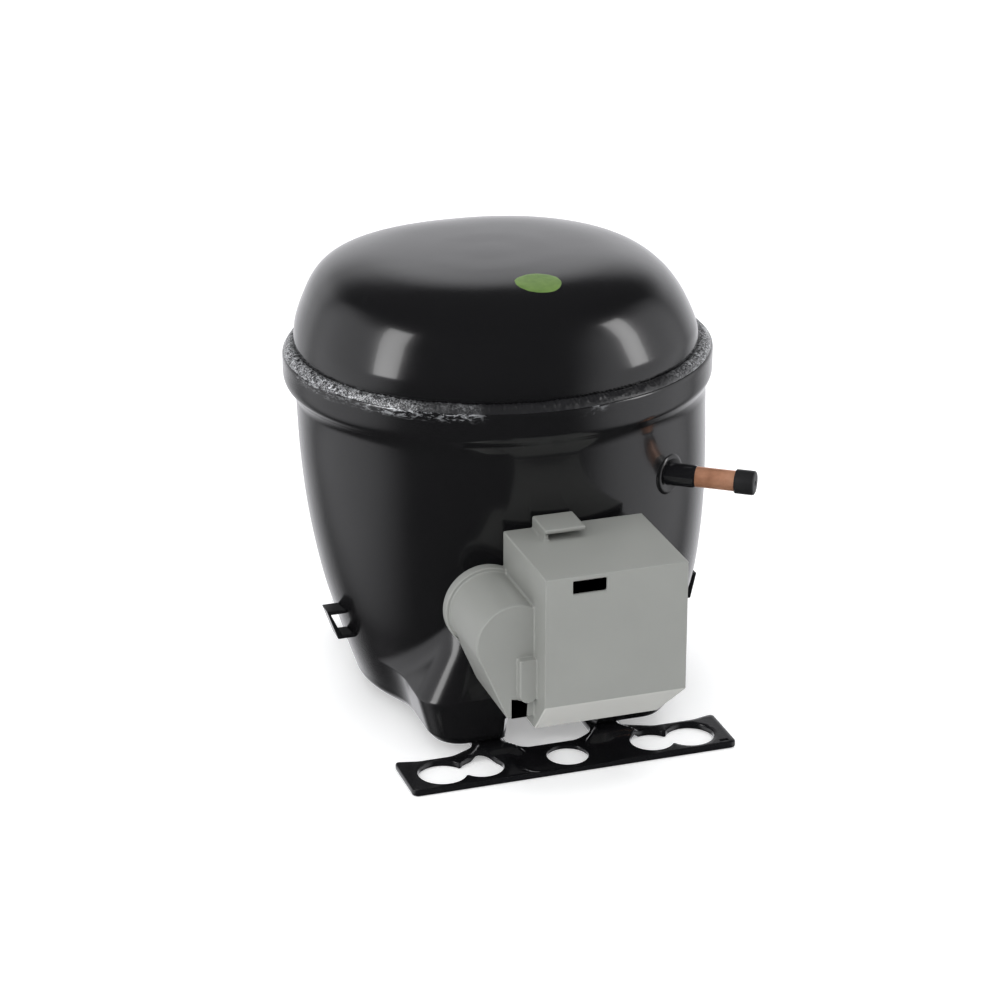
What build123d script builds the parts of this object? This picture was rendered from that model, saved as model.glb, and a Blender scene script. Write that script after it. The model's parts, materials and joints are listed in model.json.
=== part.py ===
# Hermetic reciprocating refrigeration compressor, sizes in millimetres.
# Frame: X runs along the base plates, -Y is the side of the terminal cover, +Z is up.
# Origin: midpoint between the two rows of mounting holes, on the plane the plates stand on.
# The sealed shell hangs a motor and a vertical-shaft pump on four springs.
# The pump is a Scotch yoke: the crankpin turns in a slider block that slides in a cross tube brazed to the piston.
from build123d import *
import os
from math import sin, cos, pi, sqrt, radians

os.makedirs("parts", exist_ok=True)

# ---- driving dimensions -------------------------------------------------
SHEET = 3.0            # shell sheet thickness
RIM_A, RIM_B = 85.5, 79.2   # outer half axes of the flared rim of the lower shell
RIM_Z0, RIM_Z1 = 131.0, 142.5
# outer sections of the lower shell: z, half axis X, half axis Y, centre X
LOWER = [
    (3.0, 48.0, 45.3, 1.8), (4.5, 57.0, 53.8, 2.4), (7.0, 61.3, 57.9, 3.2),
    (11.0, 63.6, 60.0, 3.9), (15.0, 65.38, 61.69, 4.29), (20.0, 67.3, 63.5, 4.6),
    (26.0, 69.39, 65.35, 4.81), (32.0, 71.3, 67.0, 4.9), (39.0, 73.5, 68.85, 4.87),
    (46.0, 75.4, 70.4, 4.8), (54.0, 77.02, 71.7, 4.52), (63.0, 78.44, 72.81, 4.05),
    (72.0, 79.62, 73.65, 3.61), (83.0, 80.62, 74.36, 3.05), (92.0, 81.2, 74.75, 2.57),
    (101.0, 81.52, 75.02, 2.16), (112.0, 81.71, 75.26, 1.75), (124.0, 81.8, 75.4, 1.4),
]
# outer sections of the lid above its straight skirt
LID = [
    (146.0, 79.6, 74.0), (150.0, 78.8, 73.3), (155.0, 77.3, 71.9), (160.3, 75.2, 69.9),
    (165.6, 72.6, 67.5), (170.0, 69.7, 64.8), (173.7, 66.0, 61.4), (176.7, 60.8, 56.6),
    (178.9, 53.2, 49.5), (180.3, 43.0, 40.0), (181.0, 26.0, 24.2),
]


def lid_x(z):
    """Centre X of the lid, which leans a little towards -X as it rises."""
    return -0.65 - 0.055 * (z - 143.0) if z < 163.0 else -1.75 - 0.095 * (z - 163.0)


SKIRT_Z = 134.0

PLATE_Y = 85.0         # hole rows at Y = +-85, 170 apart
PLATE_L, PLATE_Y0, PLATE_Y1, PLATE_T = 132.0, 97.0, 71.0, 2.5
REAR_L, REAR_W = 93.0, 23.0   # the rear plate is shorter and has round ends
HOLE_OUT_X, HOLE_OUT_R = 50.8, 9.5
HOLE_IN_X, HOLE_IN_R = 35.0, 8.5
HOLE_MID_R = 8.0

# pump kit
CRANK_R = 7.0          # throw, so the stroke is 14
ZC = 130.0             # height of the cylinder axis
BORE_R, PISTON_R = 13.0, 12.98
SHAFT_R, HUB_BORE_R = 9.0, 9.03
PIN_R, BLOCK_BORE_R = 6.0, 6.03
SLIDER_R, YOKE_R0, YOKE_R1 = 10.0, 10.05, 12.4
CROWN_X, DECK_X = 53.0, 54.0
STATOR_H, STATOR_CR = 50.0, 18.0
ST_Z0, ST_Z1 = 42.0, 84.0
ROTOR_R, STATOR_BORE_R = 26.0, 26.35
MOUNT_XY = 36.0        # springs and stator bolts at +-36, +-36

# terminal cover
COV_X0, COV_X1, COV_Y0, COV_Y1, COV_Z0, COV_Z1, COV_T = -23.5, 32.5, -125.0, -76.0, 43.6, 95.6, 1.8
SKIRT_BOT, SKIRT_Y = 30.0, -113.0
CAP_X, CAP_Z, CAP_R, CAP_Y0 = -31.0, 66.5, 15.0, -113.0


def bx(x0, x1, y0, y1, z0, z1):
    return Pos((x0 + x1) / 2, (y0 + y1) / 2, (z0 + z1) / 2) * Box(x1 - x0, y1 - y0, z1 - z0)


def cz(x, y, z0, z1, r):
    return Pos(x, y, (z0 + z1) / 2) * Cylinder(r, z1 - z0)


def cx(x0, x1, y, z, r):
    return Pos((x0 + x1) / 2, y, z) * Rot(0, 90, 0) * Cylinder(r, x1 - x0)


def cy(x, z, y0, y1, r):
    return Pos(x, (y0 + y1) / 2, z) * Rot(90, 0, 0) * Cylinder(r, y1 - y0)


def along(p, d, l0, l1, r):
    """Cylinder on the line through p in direction d, from l0 to l1 along it."""
    pl = Plane(origin=(p[0] + d[0] * l0, p[1] + d[1] * l0, p[2] + d[2] * l0), z_dir=d)
    return extrude(pl * Circle(r), amount=l1 - l0)


def ell(z, a, b, x=0.0):
    return Pos(x, 0, z) * Ellipse(a, b)


def save(name, shape):
    if isinstance(shape, (list, tuple)):
        shape = Compound(children=list(shape))
    export_step(shape, f"parts/{name}.step")


def solid_of(shape):
    s = shape.solids()
    return max(s, key=lambda q: q.volume)


# ---- lower shell --------------------------------------------------------
def lower_body(t, zmin):
    """Bowl, shoulder and rim, drawn in by t, starting at zmin."""
    secs = [(z, a - t, b - t, x) for z, a, b, x in LOWER]
    if t > 0:
        secs = [(z + (t if i == 0 else t * max(0.0, 1 - (z - 3) / 20)), a, b, x) for i, (z, a, b, x) in enumerate(secs)]
    bowl = loft([ell(z, a, b, x) for z, a, b, x in secs], ruled=True)
    z0, a0, b0, x0 = secs[-1]
    cone = loft([ell(z0, a0, b0, x0), ell(RIM_Z0, RIM_A - t, RIM_B - t)], ruled=True)
    top = extrude(ell(RIM_Z0, RIM_A - t, RIM_B - t), amount=(RIM_Z1 - RIM_Z0) + (2 if t > 0 else 0))
    return bowl, cone, top


def lobe(t, sgn):
    """Stamped foot pad of the lower shell, on the side sgn of Y."""
    def rr(z, hx, y0, y1, r):
        yc = sgn * (y0 + y1) / 2
        return Pos(0, yc, z) * RectangleRounded(2 * hx, abs(y1 - y0), r)
    return loft([
        rr(5.0 + t, 45.0 - t, 30.0, 70.0 - t, 9.0 - t), rr(9.0 + t, 49.5 - t, 26.0, 73.2 - t, 12.0 - t),
        rr(24.0, 53.5 - t, 20.0, 74.0 - t, 14.0 - t), rr(62.0, 30.0, 20.0, 62.0, 10.0 - t)], ruled=True)


bowl, cone, top = lower_body(0, 3.0)
lobes = [lobe(0, s) - bx(-20, 15, s * 62.5 - 20.5, s * 62.5 + 20.5, 0, 14) for s in (-1, 1)]
outer = bowl + cone + top
outer_all = outer + lobes[0] + lobes[1]
ib, ic, it = lower_body(SHEET, 6.0)
inner = ib + ic + it
lobes_in = [lobe(SHEET, s) - bx(-23, 18, s * 62.5 - 23.5, s * 62.5 + 23.5, 0, 17) for s in (-1, 1)]

TERM_X, TERM_Z = 9.0, 65.0
TERM_R = 15.0


def wall_n(x, y, a, b):
    nx, ny = x / a ** 2, y / b ** 2
    l = sqrt(nx * nx + ny * ny)
    return (nx / l, ny / l, 0.0)


# name: root on the wall, direction, tube radius, bore radius, painted sleeve length, tube end, cap start, cap end
RING_OUT = {"suction": 2.3, "discharge": 0.2, "process": 1.3}   # how far each weld ring reaches from its tube's root
TUBES = {
    "suction": ((48.7, -59.8, 103.5), (0.8123, -0.5832, 0.0), 4.0, 3.0, 12.0, 32.9, 27.5, 35.2),
    "discharge": ((-28.0, 70.6, 94.0), (0.0, 1.0, 0.0), 3.25, 2.4, 10.0, 30.0, 23.0, 32.5),
    "process": ((30.0, 69.8, 94.0), (0.0, 1.0, 0.0), 3.25, 2.4, 10.0, 40.0, 33.0, 42.5),
}
lower = outer_all - inner - lobes_in[0] - lobes_in[1]
lower = lower - cy(TERM_X, TERM_Z, -90, -50, TERM_R)
for p, d, r, *_ in TUBES.values():
    lower = lower - along(p, d, -14, 14, r + 0.5)
lower = solid_of(lower)
save("lower_shell", lower)

# ---- lid and weld -------------------------------------------------------
lid_secs = [ell(z, a, b, lid_x(z)) for z, a, b in LID]
A0, B0 = LID[0][1], LID[0][2]
X0 = lid_x(146.0)
skirt = extrude(Pos(X0, 0, SKIRT_Z) * Ellipse(A0, B0), amount=146.0 - SKIRT_Z)
lid_in = [ell(z - 3.0 * (1 - (181.0 - z) / 35.0), a - 3.0 - (1.0 if i > 6 else 0), b - 3.0 - (1.0 if i > 6 else 0), lid_x(z)) for i, (z, a, b) in enumerate(LID)]
lid = loft(lid_secs, ruled=True) + skirt
lid = lid - (loft(lid_in, ruled=True) + extrude(Pos(X0, 0, SKIRT_Z - 1) * Ellipse(A0 - 3, B0 - 3), amount=146.0 - SKIRT_Z + 1))
save("upper_shell", solid_of(lid))

bead = extrude(ell(139.0, RIM_A - SHEET, RIM_B - SHEET), amount=RIM_Z1 - 139.0) + extrude(ell(RIM_Z1, RIM_A - 0.8, RIM_B - 0.8), amount=2.0)
bead = bead - extrude(Pos(X0, 0, 130) * Ellipse(A0, B0), amount=20)
save("weld_bead", solid_of(bead))


# ---- base plates --------------------------------------------------------
def base_plate(s):
    yc = s * (PLATE_Y0 + PLATE_Y1) / 2
    if s < 0:
        p = extrude(Pos(0, yc, 0) * RectangleRounded(PLATE_L, PLATE_Y0 - PLATE_Y1, 3.0), amount=PLATE_T)
    else:
        p = extrude(Pos(0, s * PLATE_Y, 0) * RectangleRounded(REAR_L, REAR_W, REAR_W / 2 - 0.1), amount=PLATE_T)
    # two legs rise from the rear edge to the foot pads of the shell
    for x0, x1 in ((-33, -20), (15, 28)):
        ya, yb = sorted((s * 56.0, s * 80.0))
        leg = extrude(Pos((x0 + x1) / 2, (ya + yb) / 2, 1.0) * RectangleRounded(x1 - x0, yb - ya, 3.0), amount=4.0)
        p = p + leg
    for sx in (-1, 1):
        p = p - cz(sx * HOLE_IN_X, s * PLATE_Y, -1, 9, HOLE_IN_R)
        if s > 0:
            continue
        p = p - cz(sx * HOLE_OUT_X, s * PLATE_Y, -1, 9, HOLE_OUT_R)
        p = p - bx(min(sx * HOLE_IN_X, sx * HOLE_OUT_X), max(sx * HOLE_IN_X, sx * HOLE_OUT_X), s * PLATE_Y - 5, s * PLATE_Y + 5, -1, 9)
    p = p - cz(0, s * PLATE_Y, -1, 9, HOLE_MID_R)
    # shallow dish round the middle hole
    dish = extrude(Pos(0, yc, PLATE_T - 0.8) * RectangleRounded(44, 30, 10.0), amount=0.8) & bx(-21, 21, *sorted((s * 76, s * 94)), 0, 9)
    for x0, x1 in ((-33, -20), (15, 28)):
        dish = dish - bx(x0 - 1, x1 + 1, *sorted((s * 45, s * 81)), 0, 9)
    p = p - dish
    if s < 0:
        # small locating slot near the end
        p = p - bx(60.0, 63.5, *sorted((s * 93.0, s * 94.6)), -1, 9)
    return solid_of(p)


plate_f, plate_r = base_plate(-1), base_plate(1)
save("front_base_plate", plate_f)
save("rear_base_plate", plate_r)

# ---- tubes through the wall --------------------------------------------
sleeves, rings = [], []
for name, (p, d, r, ri, ls, le, c0, c1) in TUBES.items():
    tube = along(p, d, -7.0, le, r) - along(p, d, -8.0, le + 1, ri)
    save(f"{name}_tube", tube)
    sleeves.append(solid_of(along(p, d, -5.0, ls, r + 0.45) - along(p, d, -6, ls + 1, r)))
    n = wall_n(p[0] - 1.8, p[1], 80.8, 74.9)
    ring = along(p, n, -4.5, RING_OUT[name], r + 4.2) - outer_all - along(p, d, -14, 14, r + 0.5) - inner
    rings.append(solid_of(ring))
    cap = along(p, d, c0, c1, r + 0.75) - along(p, d, c0 - 1, c1 - 2.2, r + 0.05) - along(p, d, c0, c1 + 1, 0.9)
    cap = solid_of(cap)
    save(f"{name}_tube_cap", cap)
save("tube_sleeves", sleeves)
save("tube_weld_rings", rings)

# ---- side brackets ------------------------------------------------------
# strap clips that stand off the wall and lean with it: side, outer X at the top and bottom, top and bottom height, Y range
CLIPS = {
    "left_side_bracket": (-1, 76.0, 71.6, 42.5, 30.0, -14.0, -6.0),
    "right_side_bracket": (1, 80.5, 78.0, 38.5, 27.5, -16.0, -8.0),
}
for nm, (s, xt, xb, zt, zb, ya, yb) in CLIPS.items():
    t = 1.6
    pts = [(xt, zt), (60.0, zt), (60.0, zt - t), (xt - t, zt - t), (xb - t, zb + t), (60.0, zb + t), (60.0, zb), (xb, zb)]
    f = make_face(Polyline(*[(s * x, ya, z) for x, z in pts], close=True))
    b = extrude(f, amount=yb - ya, dir=(0, 1, 0)) - outer_all - inner
    save(nm, solid_of(b))

# ---- terminal, relay, overload, capacitor ------------------------------
pins_at = ((9.0, 72.0), (3.0, 61.5), (15.0, 61.5))
term = cy(TERM_X, TERM_Z, -75.8, -67.5, TERM_R) - cy(TERM_X, TERM_Z, -69.5, -60, TERM_R - 2)
for x, z in pins_at:
    term = term - cy(x, z, -80, -60, 3.2)
save("hermetic_terminal", solid_of(term))
save("terminal_glass_beads", [solid_of(cy(x, z, -75.4, -69.9, 3.2) - cy(x, z, -80, -60, 1.15)) for x, z in pins_at])
save("terminal_pins", [solid_of(cy(x, z, -88.0, -60.0, 1.15)) for x, z in pins_at])
conn = bx(-1.5, 19.5, -66.5, -57.0, 56.0, 77.0)
for x, z in pins_at:
    conn = conn - cy(x, z, -70, -59.5, 1.3)
save("motor_connector", solid_of(conn))

fence = bx(-18.2, 29.5, -90, -66, 46.5, 93.0) - bx(-17.0, 28.3, -95, -60, 40, 91.8) - outer_all - inner
save("terminal_fence", solid_of(fence))

relay = bx(-2.0, 27.5, -108.0, -80.0, 50.0, 80.0)
relay = fillet(relay.edges().filter_by(Axis.Y), 2.0)
for x, z in pins_at:
    relay = relay - cy(x, z, -88.5, -75, 1.3)
relay = relay - bx(2, 24, -112, -105.5, 60, 74)
save("starting_relay", solid_of(relay))
ovl = cy(-9.4, 72.0, -102.0, -84.0, 7.0) + cy(-9.4, 72.0, -84.0, -82.0, 6.0) + bx(-10.9, -7.9, -104.5, -102.0, 70, 74)
save("overload_protector", solid_of(ovl))
cap_can = cy(CAP_X, CAP_Z, -109.5, -80.0, 12.4) + cy(CAP_X, CAP_Z, -80.0, -78.6, 11.4) + bx(CAP_X - 5, CAP_X - 3.5, -78.6, -74.5, CAP_Z - 2, CAP_Z + 2) + bx(CAP_X + 3.5, CAP_X + 5, -78.6, -74.5, CAP_Z - 2, CAP_Z + 2)
save("start_capacitor", solid_of(cap_can))
screw = cy(24.3, 86.0, -82.0, -79.0, 3.4) + cy(24.3, 86.0, -79.0, -74.5, 1.8)
tab = bx(18.5, 28.3, -76.0, -74.5, 81.5, 91.8) - cy(24.3, 86.0, -80, -70, 1.8)
save("ground_screw", solid_of(screw))
save("ground_tab", solid_of(tab))

# terminal cover, one moulding
prof = [(COV_Y1, COV_Z1), (COV_Y0, COV_Z1), (COV_Y0, COV_Z0), (SKIRT_Y, SKIRT_BOT), (COV_Y1, SKIRT_BOT)]


def cover_block(i):
    """Main block of the cover, drawn in by i on every closed side."""
    pts = [(COV_Y1 + (5 if i else 0), COV_Z1 - i), (COV_Y0 + i, COV_Z1 - i), (COV_Y0 + i, COV_Z0 + 0.35 * i), (SKIRT_Y + 0.45 * i, SKIRT_BOT + i), (COV_Y1 + (5 if i else 0), SKIRT_BOT + i)]
    f = make_face(Polyline(*[(0, y, z) for y, z in pts], close=True))
    blk = extrude(Pos(COV_X0 + i, 0, 0) * f, amount=(COV_X1 - i) - (COV_X0 + i), dir=(1, 0, 0))
    # the lower right corner is cut off at a slant
    cut = make_face(Polyline((COV_X1 + 2, 0, COV_Z0 + i), (COV_X1 - i, 0, COV_Z0 + 0.4 * i), (26.0 - 0.7 * i, 0, SKIRT_BOT + i), (26.0, 0, SKIRT_BOT - 6), (COV_X1 + 2, 0, SKIRT_BOT - 6), close=True))
    cutter = extrude(Pos(0, -140, 0) * cut, amount=100, dir=(0, 1, 0))
    return blk - cutter


web_pts = [(-45.2, 62.0), (-34.0, 35.5), (-23.4, 35.5), (-23.4, 62.0)]
web = extrude(Pos(0, CAP_Y0, 0) * make_face(Polyline(*[(x, 0, z) for x, z in web_pts], close=True)), amount=COV_Y1 - CAP_Y0, dir=(0, 1, 0))
web_in_pts = [(-42.0, 60.0), (-32.8, 37.3), (-25.3, 37.3), (-25.3, 60.0)]
web_in = extrude(Pos(0, CAP_Y0 + 1.8, 0) * make_face(Polyline(*[(x, 0, z) for x, z in web_in_pts], close=True)), amount=60, dir=(0, 1, 0))
pod = cy(CAP_X, CAP_Z, CAP_Y0, COV_Y1, CAP_R) + cy(CAP_X, CAP_Z, -80.5, COV_Y1, CAP_R + 1.6) + bx(CAP_X, COV_X0 + 0.5, CAP_Y0, COV_Y1, CAP_Z - CAP_R, CAP_Z + CAP_R * 0.9)
pod_in = cy(CAP_X, CAP_Z, CAP_Y0 + 1.8, COV_Y1 + 9, CAP_R - 1.8)
cover = cover_block(0) + pod + web
cover = cover - cover_block(COV_T) - pod_in - web_in
cover = cover - bx(-12.8, 0.4, -128, -120, 88.4, 94.0 - 0.4)      # slot window in the front
cover = cover - bx(-31.8, -27.2, -118, -108, 36.2, 42.8)          # square hole under the capacitor pod
cover = cover - bx(2, 14, -104, -92, 25, 36)                      # cable entry in the underside
cover = cover + cy(-26.6, 46.0, -116.2, CAP_Y0, 3.6) + bx(-30.2, -23.0, -116.2, CAP_Y0, 46.0, 60.0)   # rounded post
cover = cover + bx(-12.0, -10.2, -90.5, COV_Y1, COV_Z1 - 0.1, 100.2) + bx(-12.0, 4.2, -91.5, COV_Y1, 98.4, 100.2)  # latch hook
save("terminal_cover", solid_of(cover))

# ---- suspension ---------------------------------------------------------
corners = [(sx * MOUNT_XY, sy * MOUNT_XY) for sx in (-1, 1) for sy in (-1, 1)]
seats = []
for x, y in corners:
    s = (cz(x, y, 4.0, 16.5, 8.5) & inner) + cz(x, y, 16.5, 21.0, 4.6)
    seats.append(solid_of(s))
save("lower_spring_seats", seats)
caps = []
for x, y in corners:
    caps.append(solid_of(cz(x, y, 34.0, ST_Z0, 8.4) + cz(x, y, 29.0, 34.0, 4.6) - cz(x, y, 37.6, ST_Z0 + 1, 5.0)))
save("upper_spring_caps", caps)
springs = []
for x, y in corners:
    h = Helix(pitch=3.0, height=15.0, radius=6.0)
    w = sweep(Plane(origin=h @ 0, z_dir=h % 0) * Circle(0.9), path=h)
    springs.append(Pos(x, y, 17.9) * solid_of(w))
save("suspension_springs", springs)

# ---- motor --------------------------------------------------------------
stack = extrude(Pos(0, 0, ST_Z0) * RectangleRounded(2 * STATOR_H, 2 * STATOR_H, STATOR_CR), amount=ST_Z1 - ST_Z0)
stack = stack - cz(0, 0, ST_Z0 - 1, ST_Z1 + 1, STATOR_BORE_R)
for x, y in corners:
    stack = stack - cz(x, y, ST_Z0 - 1, ST_Z1 + 1, 2.6)
slots = [Rot(0, 0, 22.5 * i) * bx(29.0, 40.0, -2.0, 2.0, ST_Z0 - 1, ST_Z1 + 1) for i in range(16)]
for s in slots:
    stack = stack - s
save("stator_core", solid_of(stack))


def ring(z0, z1, r0, r1):
    return cz(0, 0, z0, z1, r1) - cz(0, 0, z0 - 1, z1 + 1, r0)


main = ring(28.0, ST_Z0 - 0.8, 34.0, 42.0) + ring(ST_Z1 + 0.8, 97.5, 34.0, 42.0)
start = ring(29.5, ST_Z0 - 0.8, 28.2, 33.4) + ring(ST_Z1 + 0.8, 96.0, 28.2, 33.4)
for i in range(16):
    bar = Rot(0, 0, 22.5 * i)
    if i % 4 == 1:
        start = start + bar * bx(29.4, 33.2, -1.7, 1.7, ST_Z0 - 2, ST_Z1 + 2)
    else:
        main = main + bar * bx(34.4, 39.6, -1.7, 1.7, ST_Z0 - 2, ST_Z1 + 2)
save("main_winding", solid_of(main))
save("start_winding", solid_of(start))
bolts = [solid_of(cz(x, y, 38.4, 111.0, 2.5) + cz(x, y, 38.0, ST_Z0, 4.2)) for x, y in corners]
save("stator_bolts", bolts)

rotor = cz(0, 0, ST_Z0, ST_Z1, ROTOR_R) - cz(0, 0, ST_Z0 - 1, ST_Z1 + 1, SHAFT_R)
save("rotor_core", solid_of(rotor))
save("rotor_end_rings", [solid_of(ring(36.5, ST_Z0, 15.0, 25.0)), solid_of(ring(ST_Z1, 89.5, 16.5, 25.0))])

# ---- crankshaft ---------------------------------------------------------
shaft = cz(0, 0, 40.0, 113.1, SHAFT_R) + cz(2.0, 0, 113.1, 117.0, 13.0) + cz(CRANK_R, 0, 117.0, 137.0, PIN_R)
shaft = shaft - cz(0, 0, 39.0, 47.0, 4.5)
shaft = shaft - cz(CRANK_R / 2, 0, 132.9, 138.0, 2.0)
save("crankshaft", solid_of(shaft))
save("oil_gallery_plug", solid_of(cz(CRANK_R / 2, 0, 133.0, 137.0, 1.95)))
cw = (cz(0, 0, 113.3, 116.8, 22.0) & bx(-30, -1.0, -30, 30, 100, 130)) - cz(2.0, 0, 110, 120, 13.0)
save("counterweight", solid_of(cw))
pick = cz(0, 0, 13.0, 46.8, 4.5) - cz(0, 0, 10, 50, 3.4)
pick = pick + (cz(0, 0, 13.0, 14.0, 4.5) - cz(0, 0, 10, 50, 2.2))
save("oil_pickup_tube", solid_of(pick))

# ---- cylinder block -----------------------------------------------------
blk = extrude(Pos(0, 0, 104.0) * RectangleRounded(90, 90, 14.0), amount=8.0)
blk = blk + cz(0, 0, 93.0, 112.0, 15.0)
for x, y in corners:
    blk = blk + cz(x, y, ST_Z1, 106.0, 7.0)
blk = blk + cx(25.0, DECK_X, 0, ZC, 19.0) + bx(25.0, DECK_X, -17.0, 17.0, 111.0, ZC) + bx(48.0, DECK_X, -19.0, 19.0, ZC - 19, ZC + 19)
blk = blk - cx(20.0, 60.0, 0, ZC, BORE_R) - cz(0, 0, 90, 120, HUB_BORE_R)
hb = [(y, ZC + z) for y in (-14.5, 14.5) for z in (-14.5, 14.5)]
for y, z in hb:
    blk = blk - cx(46.0, 60.0, y, z, 2.1)
for x, y in corners:
    blk = blk - cz(x, y, 80, 120, 2.6)
blk = blk - cz(-26, 0, 100, 115, 6.0)
save("cylinder_block", solid_of(blk))
save("thrust_washer", solid_of(ring(112.0, 113.0, 9.2, 14.0)))

GX0, GX1, VX1, HX0, HX1 = DECK_X, DECK_X + 0.4, DECK_X + 3.4, DECK_X + 3.8, DECK_X + 13.3


def slab(x0, x1):
    s = bx(x0, x1, -19, 19, ZC - 19, ZC + 19)
    for y, z in hb:
        s = s - cx(x0 - 1, x1 + 1, y, z, 2.1)
    return s


save("cylinder_gasket", solid_of(slab(GX0, GX1) - cx(GX0 - 1, GX1 + 1, 0, ZC, 13.3)))
vp = slab(GX1, VX1) - cx(GX1 - 1, VX1 + 1, -4.5, ZC + 3, 3.0) - cx(GX1 - 1, VX1 + 1, 4.5, ZC + 3, 2.4)
save("valve_plate", solid_of(vp))
save("head_gasket", solid_of(slab(VX1, HX0) - (cx(VX1 - 1, HX0 + 1, 0, ZC, 14.0) - bx(VX1 - 2, HX0 + 2, -0.7, 0.7, ZC - 20, ZC + 20))))
head = slab(HX0, HX1) - (cx(HX0 - 1, HX1 - 3.0, 0, ZC, 14.0) - bx(HX0 - 2, HX1, -0.7, 0.7, ZC - 20, ZC + 20))
for k in range(5):
    head = head - bx(HX1 - 1.5, HX1 + 1, -9, 9, ZC - 9.2 + 4.4 * k, ZC - 7.6 + 4.4 * k)
head = head - cy(HX0 + 4.5, ZC, -25, -10, 3.2)
save("cylinder_head", solid_of(head))
hbs = []
for y, z in hb:
    hbs.append(solid_of(cx(48.5, HX1, y, z, 2.0) + cx(HX1, HX1 + 3.0, y, z, 3.6)))
save("head_bolts", hbs)
save("suction_reed", solid_of(bx(GX0 + 0.05, GX0 + 0.33, -8.0, -1.2, ZC - 8.5, ZC + 8.0)))
save("discharge_reed", solid_of(bx(VX1 + 0.05, VX1 + 0.33, 1.4, 7.8, ZC - 8.5, ZC + 8.0)))
stop = bx(VX1, VX1 + 2.8, 1.6, 7.4, ZC - 11.0, ZC - 9.2) + bx(VX1 + 2.0, VX1 + 2.8, 1.6, 7.4, ZC - 11.0, ZC + 7.0)
save("discharge_reed_stop", solid_of(stop))

mm = bx(28.0, 51.5, -43.0, -22.0, 113.0, 140.0)
mm = fillet(mm.edges().filter_by(Axis.Z), 4.0)
mm_in = bx(30.0, 49.5, -41.0, -24.0, 115.0, 141.0)
mm_in = fillet(mm_in.edges().filter_by(Axis.Z), 2.5)
nozzle = bx(51.0, 66.5, -28.0, -22.0, 124.0, 136.0) + cy(HX0 + 4.5, ZC, -22.0, -19.0, 4.6)
nozzle = nozzle - cy(HX0 + 4.5, ZC, -24.5, -18.0, 3.2) - bx(45.0, 65.0, -26.5, -23.5, 126.0, 134.0)
mm = (mm - mm_in) + (nozzle - bx(30.0, 49.5, -41.0, -24.0, 115.0, 141.0))
save("suction_muffler", solid_of(mm - bx(48.0, 53.0, -26.5, -24.0, 126.0, 134.0)))
mc = bx(28.0, 51.5, -43.0, -22.0, 140.0, 144.0)
mc = fillet(mc.edges().filter_by(Axis.Z), 4.0)
mc = mc + cy(36.0, 142.0, -48.0, -43.0, 3.0) - cy(36.0, 142.0, -49.0, -38.0, 2.0)
save("suction_muffler_cover", solid_of(mc))
dm = cz(14.0, 33.5, 112.0, 128.0, 11.0)
dm = fillet(dm.edges().sort_by(Axis.Z)[-1], 3.0)
dm = dm - cz(14.0, 33.5, 111.0, 125.5, 9.2)
save("discharge_muffler_cap", solid_of(dm))

# ---- slider, yoke and piston -------------------------------------------
sl = cy(CRANK_R, ZC, -9.0, 9.0, SLIDER_R) - cz(CRANK_R, 0, 115, 138.0, BLOCK_BORE_R)
save("slider_block", solid_of(sl))
yoke = cy(CRANK_R, ZC, -18.0, 18.0, YOKE_R1) - cy(CRANK_R, ZC, -19, 19, YOKE_R0)
yoke = yoke - (bx(CRANK_R - 6.4, CRANK_R + 6.4, -13.7, 13.7, 110, ZC - 2))
save("cross_yoke_tube", solid_of(yoke))
pis = cx(27.0, CROWN_X, 0, ZC, PISTON_R) - cx(26.0, 47.5, 0, ZC, 10.4) + cx(10.0, 49.0, 0, ZC, 7.0) - cy(CRANK_R, ZC, -19, 19, YOKE_R1)
pis = pis - (cx(49.5, 50.1, 0, ZC, 14) - cx(49.0, 50.6, 0, ZC, PISTON_R - 0.5)) - (cx(46.0, 46.6, 0, ZC, 14) - cx(45.5, 47.0, 0, ZC, PISTON_R - 0.5))
save("piston", solid_of(pis))


# ---- inner tube and leads ----------------------------------------------
def bent(pts, radii, r):
    path = FilletPolyline(*pts, radius=radii)
    w = Wire(path.edges()) if not isinstance(path, Wire) else path
    t = (pts[1][0] - pts[0][0], pts[1][1] - pts[0][1], pts[1][2] - pts[0][2])
    s = sweep(Plane(origin=pts[0], z_dir=t) * Circle(r), path=path, transition=Transition.ROUND)
    return solid_of(s)


loop = bent([(14, 44.6, 120), (14, 56, 120), (-12, 58, 107), (-28, 55, 94), (-28, 63.4, 94)], [5.0, 8.0, 4.0], 2.3)
save("discharge_loop_tube", loop)
leads = [bent([(x, -61.0 + 0.0, 77.1), (x, -61.0, 91.0), (x, -42.4 + abs(x - 9) * 0.0, 91.0)], [5.0], 1.1) for x in (5.8, 9.0, 12.2)]
save("motor_leads", leads)
print("bowl depth", LOWER[0][0], "parts", len(os.listdir("parts")))
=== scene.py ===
import bpy
import bmesh
import json
import numpy as np
from math import sin, cos, pi, sqrt, radians, atan2, hypot
from mathutils import Vector, Matrix, noise, geometry


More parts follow.
